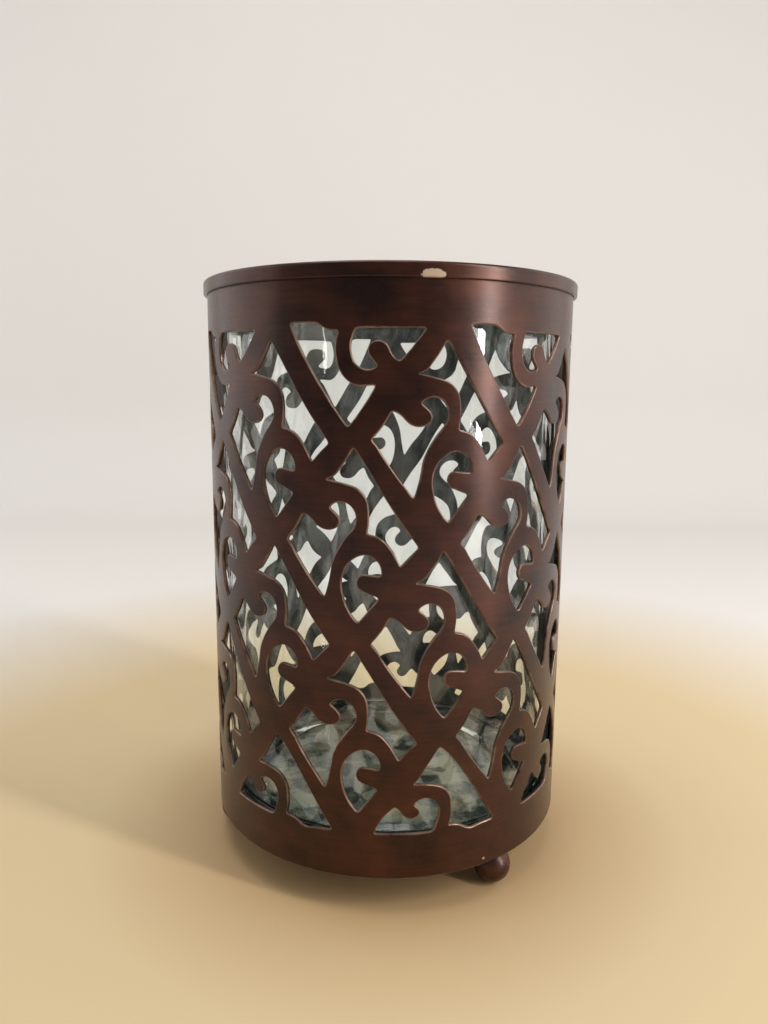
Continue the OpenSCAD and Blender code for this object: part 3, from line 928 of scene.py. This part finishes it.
class HOLDER_OT_glass(bpy.types.Operator):
    """Glass liner with a thick floor, a melted rim and slow upright waves inside"""
    bl_idname = "holder.glass"
    bl_label = "Glass liner"

    def execute(self, context):
        size = sizes()
        outer = node_radius("glass_liner")
        rim = (outer - BORE_R) * 0.49
        wall = np.linspace(GLASS_TOP - 6, BORE_FLOOR + 8, 24)
        profile = rounded_profile(
            [[0, GLASS_LOW + 1.2, 0], [outer - 12, GLASS_LOW + 1.0, 6], [outer - 8, GLASS_LOW, 3],
             [outer, GLASS_LOW, 3.2], [outer, GLASS_TOP, rim], [BORE_R, GLASS_TOP, rim]]
            + [[BORE_R, z, 0] for z in wall] + [[BORE_R, BORE_FLOOR, 2.0], [0, BORE_FLOOR, 0]], 8)

        def wavy(r, t, z):
            """Outward shift of the drawn glass wall, in millimetres."""
            waves = (np.sin(3 * t + 0.4) + 0.8 * np.sin(5 * t + 1.9 + z / 90) + 0.55 * np.sin(11 * t + 0.7)
                     + 0.35 * np.sin(19 * t + 2.6 + z / 60) + 0.2 * np.sin(37 * t + 1.2))
            ease = np.clip((z - BORE_FLOOR - 4) / 12, 0, 1) * np.clip((GLASS_TOP - z - 3) / 8, 0, 1)
            within = (r > BORE_R - 0.5) & (r < BORE_R + 0.5)
            return size.glass_wave * 0.35 * (waves + 1) * ease * within

        points, faces = turned(profile, size.facets, shape=wavy)
        piece = make_piece("glass_liner_clear", points, [(faces, 0)], [liner_glass()])
        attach(piece, "liner")
        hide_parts("glass_liner")
        return {"FINISHED"}


def look_at(place, target):
    """Matrix of a lamp at place whose beam points at target."""
    back = np.subtract(place, target).astype(float)
    back /= np.linalg.norm(back)
    side = np.cross([0, 0, 1], back)
    side /= np.linalg.norm(side)
    axes = np.column_stack([side, np.cross(back, side), back])
    return Matrix([[*axes[i], place[i]] for i in range(3)] + [[0, 0, 0, 1]])


def add_lamp(name, place, target, width, height, watts, colour):
    """A rectangular soft lamp."""
    data = bpy.data.lights.new(name, "AREA")
    data.shape = "RECTANGLE"
    data.size, data.size_y = width, height
    data.energy = watts
    data.color = linear(colour)[:3]
    lamp = bpy.data.objects.new(name, data)
    bpy.context.scene.collection.objects.link(lamp)
    lamp.matrix_world = look_at(place, target)
    lamp.visible_camera = False
    return lamp


class HOLDER_OT_stage(bpy.types.Operator):
    """Pale floor, soft lamps, air and the camera"""
    bl_idname = "holder.stage"
    bl_label = "Stage"

    def execute(self, context):
        tint = colours()
        scene = context.scene
        far, deep, height, cove = 1.6, 0.62, 1.4, 0.12
        t = np.linspace(0, math.pi / 2, 17)
        bend = np.column_stack([deep - cove + cove * np.sin(t), cove - cove * np.cos(t)])
        line = np.vstack([[[-far, 0]], bend, [[deep, height]]]) / MM
        x = np.array([-far, far]) / MM
        points = np.stack(np.broadcast_arrays(x[None], line[:, :1], line[:, 1:]), -1).reshape(-1, 3)
        faces = grid_faces(len(line), 2, False)
        floor = make_piece("studio_floor", points, [(faces, 0)], [studio_paper()])
        air = bpy.data.worlds.new("studio_air")
        air.use_nodes = True
        tree = air.node_tree
        way = node(tree, "ShaderNodeTexCoord").outputs["Generated"]
        depth = node(tree, "ShaderNodeSeparateXYZ", {"Vector": way}).outputs["Y"]
        light = ramp(tree, maths(tree, "MULTIPLY", maths(tree, "ADD", depth, 1.0), 0.5),
                     [(0.0, grey(0.3)), (0.3, grey(0.36)), (0.5, grey(0.46)), (1.0, grey(0.5))])
        glow = mixed(tree, 1.0, light, tint.wall[:], "MULTIPLY")
        tree.links.new(glow, tree.nodes["Background"].inputs["Color"])
        scene.world = air
        middle = (0.0, 0.0, 0.08)
        add_lamp("left_window", (-0.8, 0.1, 0.4), middle, 0.9, 0.8, 2.7, "#fbfaf8")
        add_lamp("right_window", (0.8, 0.1, 0.4), middle, 0.9, 0.8, 2.7, "#fbf8f4")
        add_lamp("right_strip", (0.47, -0.29, 0.33), (0, 0, 0.12), 0.05, 0.6, 3.2, "#fdfaf6")
        add_lamp("ceiling", (-0.1, 0.0, 0.9), middle, 0.5, 0.5, 3.0, "#fffdf8")
        lens = bpy.data.cameras.new("camera")
        lens.sensor_width, lens.lens = 36.0, 27.31
        lens.clip_start, lens.clip_end = 0.01, 20.0
        camera = bpy.data.objects.new("camera", lens)
        scene.collection.objects.link(camera)
        pitch, roll, yaw = (math.radians(v) for v in (9.358, 0.434, -0.319))
        ahead = np.array([math.sin(yaw) * math.cos(pitch), math.cos(yaw) * math.cos(pitch), -math.sin(pitch)])
        level = np.array([math.cos(yaw), -math.sin(yaw), 0.0])
        upright = np.cross(level, ahead)
        side = level * math.cos(roll) + upright * math.sin(roll)
        up = upright * math.cos(roll) - level * math.sin(roll)
        axes = np.column_stack([side, up, -ahead])
        place = (0.0, -0.22885, 0.13304)
        camera.matrix_world = Matrix([[*axes[i], place[i]] for i in range(3)] + [[0, 0, 0, 1]])
        scene.camera = camera
        scene.view_settings.view_transform = "Standard"
        return {"FINISHED"}


class HOLDER_PT_panel(bpy.types.Panel):
    """Sizes, colours and steps of the candle holder"""
    bl_label = "Candle holder"
    bl_idname = "HOLDER_PT_panel"
    bl_space_type = "VIEW_3D"
    bl_region_type = "UI"
    bl_category = "Holder"

    def draw(self, context):
        for group in (sizes(), colours()):
            for name in group.bl_rna.properties.keys():
                if name not in ("rna_type", "name"):
                    self.layout.prop(group, name)
        for step in STEPS:
            self.layout.operator(step.bl_idname)


STEPS = (HOLDER_OT_stage, HOLDER_OT_sleeve, HOLDER_OT_top_ring, HOLDER_OT_ball_feet,
         HOLDER_OT_metalwork, HOLDER_OT_glass)
CLASSES = (HolderSizes, HolderColours, *STEPS, HOLDER_PT_panel)


def register():
    """Registers every class and hangs the user values on the scene."""
    for cls in CLASSES:
        bpy.utils.register_class(cls)
    bpy.types.Scene.holder_sizes = PointerProperty(type=HolderSizes)
    bpy.types.Scene.holder_colours = PointerProperty(type=HolderColours)


def unregister():
    """Takes back what register did."""
    del bpy.types.Scene.holder_colours, bpy.types.Scene.holder_sizes
    for cls in reversed(CLASSES):
        bpy.utils.unregister_class(cls)


def main():
    register()
    for name in ("camera", "lamp", "light", "cube"):
        old = bpy.data.objects.get(name.capitalize())
        if old:
            bpy.data.objects.remove(old)
    for step in STEPS:
        group, name = step.bl_idname.split(".")
        getattr(getattr(bpy.ops, group), name)()


if __name__ == "__main__":
    main()
